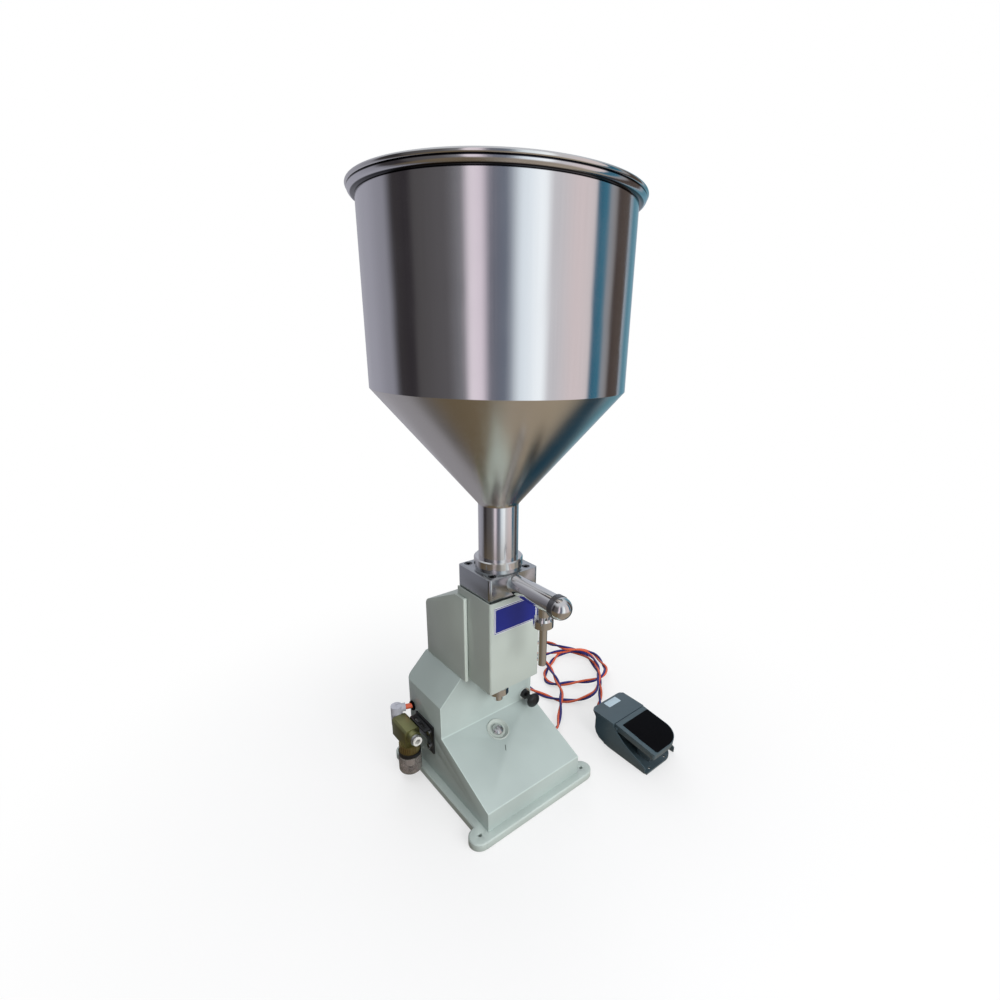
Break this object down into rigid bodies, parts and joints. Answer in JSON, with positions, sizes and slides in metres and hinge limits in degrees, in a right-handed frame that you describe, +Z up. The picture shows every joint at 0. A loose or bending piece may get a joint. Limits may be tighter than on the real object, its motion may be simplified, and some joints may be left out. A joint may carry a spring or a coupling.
{
  "type": "pneumatic filling machine",
  "caption": "Bench paste filler: tall steel hopper over a valve block and air-driven piston column on a sloped sheet body, with an inlet filter, a foot pedal and twin hoses.",
  "frame": {"origin": "centre of the four bolt ears, on the underside of the base plate", "axes": "+Z up, -Y towards the outlet and the sloped front, +X towards the pedal"},
  "size_m": [0.4972, 0.3934, 0.7753],
  "materials": {
    "stainless": "brushed and polished stainless steel",
    "paint": "pale green-grey enamel, satin",
    "plate_blue": "dark blue film with a white border",
    "frame_steel": "plain steel, plated",
    "black_steel": "blackened steel",
    "springs": "spring wire",
    "seal": "white sealing plastic",
    "aluminium": "anodised",
    "chromed": "bright",
    "bronze": "dull bronze",
    "black_plastic": "black moulded plastic",
    "rubber": "black rubber",
    "olive": "olive gold cast head",
    "gold": "knurled, golden",
    "smoked": "smoky clear bowl",
    "white_plastic": "off-white plastic",
    "pale_plastic": "pale grey plastic",
    "orange_hose": "orange-red plastic tube",
    "pedal_paint": "dark green-grey paint"
  },
  "bodies": {
    "machine": {"base_plate": "paint", "body_shell": "paint", "body_screws": "frame_steel", "body_nuts": "frame_steel", "rear_hood": "paint", "column_cover": "paint", "name_plate": "plate_blue", "column_frame": "frame_steel", "valve_block": "stainless", "block_screws": "black_steel", "hopper": "stainless", "hopper_seal": "seal", "hopper_ring": "stainless", "stem_guides": "stainless", "inlet_spring": "springs", "outlet_tube": "stainless", "outlet_spring": "springs", "outlet_collar": "black_steel", "outlet_cap": "stainless", "drop_nut": "stainless", "spout_pipe": "stainless", "product_cylinder": "stainless", "air_barrel": "aluminium", "air_caps": "aluminium", "tie_rods": "frame_steel", "stop_seat": "paint", "mode_valve": "black_plastic", "panel_nut": "chromed", "pilot_valve": "aluminium", "filter_head": "olive", "knurled_ring": "gold", "bowl_ring": "black_plastic", "filter_bowl": "smoked", "filter_element": "white_plastic", "filter_bracket": "black_steel", "inlet_fitting": "black_plastic", "outlet_elbow": "pale_plastic", "supply_tube": "orange_hose", "rubber_glands": "rubber", "hose_pair": "orange_hose", "pedal_base": "pedal_paint", "pedal_housing": "pedal_paint", "pedal_pin": "frame_steel", "pedal_valve": "aluminium"},
    "piston_rod": {"piston_rod": "chromed", "air_piston": "frame_steel", "product_piston": "seal", "stroke_nut": "bronze"},
    "inlet_poppet": {"inlet_poppet": "stainless"},
    "outlet_poppet": {"outlet_poppet": "stainless"},
    "mode_knob": {"mode_knob": "black_plastic"},
    "pilot_spool": {"pilot_spool": "aluminium"},
    "stop_bolt": {"stop_bolt": "black_steel"},
    "hopper_lid": {"hopper_lid": "stainless", "lid_knob": "black_plastic"},
    "drain_valve": {"drain_valve": "black_plastic"},
    "inlet_collet": {"inlet_collet": "white_plastic"},
    "pedal_treadle": {"pedal_treadle": "pedal_paint", "pedal_pad": "rubber"},
    "pedal_plunger": {"pedal_plunger": "frame_steel"}
  },
  "joints": [
    {"name": "piston_stroke", "type": "slide", "parent": "machine", "child": "piston_rod", "axis": [0, 0, -1], "range_m": [0, 0.045]},
    {"name": "inlet_check", "type": "slide", "parent": "machine", "child": "inlet_poppet", "axis": [0, 0, -1], "range_m": [0, 0.005], "stiffness_N_per_m": 500, "springref_m": -0.004, "deforming": ["inlet_spring"]},
    {"name": "outlet_check", "type": "slide", "parent": "machine", "child": "outlet_poppet", "axis": [0, -1, 0], "range_m": [0, 0.005], "stiffness_N_per_m": 400, "springref_m": -0.003, "deforming": ["outlet_spring"]},
    {"name": "mode_push", "type": "slide", "parent": "machine", "child": "mode_knob", "axis": [0, 1, 0], "range_m": [0, 0.005]},
    {"name": "pilot_shift", "type": "slide", "parent": "machine", "child": "pilot_spool", "axis": [0, 1, 0], "range_m": [0, 0.006]},
    {"name": "stop_turn", "type": "hinge", "parent": "machine", "child": "stop_bolt", "pos_m": [0, -0.0155, 0.0754], "axis": [0, -0.3733, 0.9277], "continuous": true},
    {"name": "lid_lift", "type": "slide", "parent": "machine", "child": "hopper_lid", "axis": [0, 0, 1], "range_m": [0, 0.06]},
    {"name": "drain_turn", "type": "hinge", "parent": "machine", "child": "drain_valve", "pos_m": [-0.105, 0.0593, 0.01], "axis": [0, 0, 1], "range_deg": [0, 90]},
    {"name": "collet_press", "type": "slide", "parent": "machine", "child": "inlet_collet", "axis": [0, 1, 0], "range_m": [0, 0.0015], "stiffness_N_per_m": 1500, "springref_m": -0.001},
    {"name": "treadle_turn", "type": "hinge", "parent": "machine", "child": "pedal_treadle", "pos_m": [0.2028, -0.1, 0.043], "axis": [1, 0, 0], "range_deg": [0, 9], "stiffness_Nm_per_rad": 2.5, "springref_deg": -6.88},
    {"name": "plunger_press", "type": "slide", "parent": "machine", "child": "pedal_plunger", "axis": [0, 0, -1], "range_m": [0, 0.0067]}
  ],
  "couplings": [
    {"joint": "plunger_press", "follows": "treadle_turn", "m_per_rad": 0.0422}
  ]
}
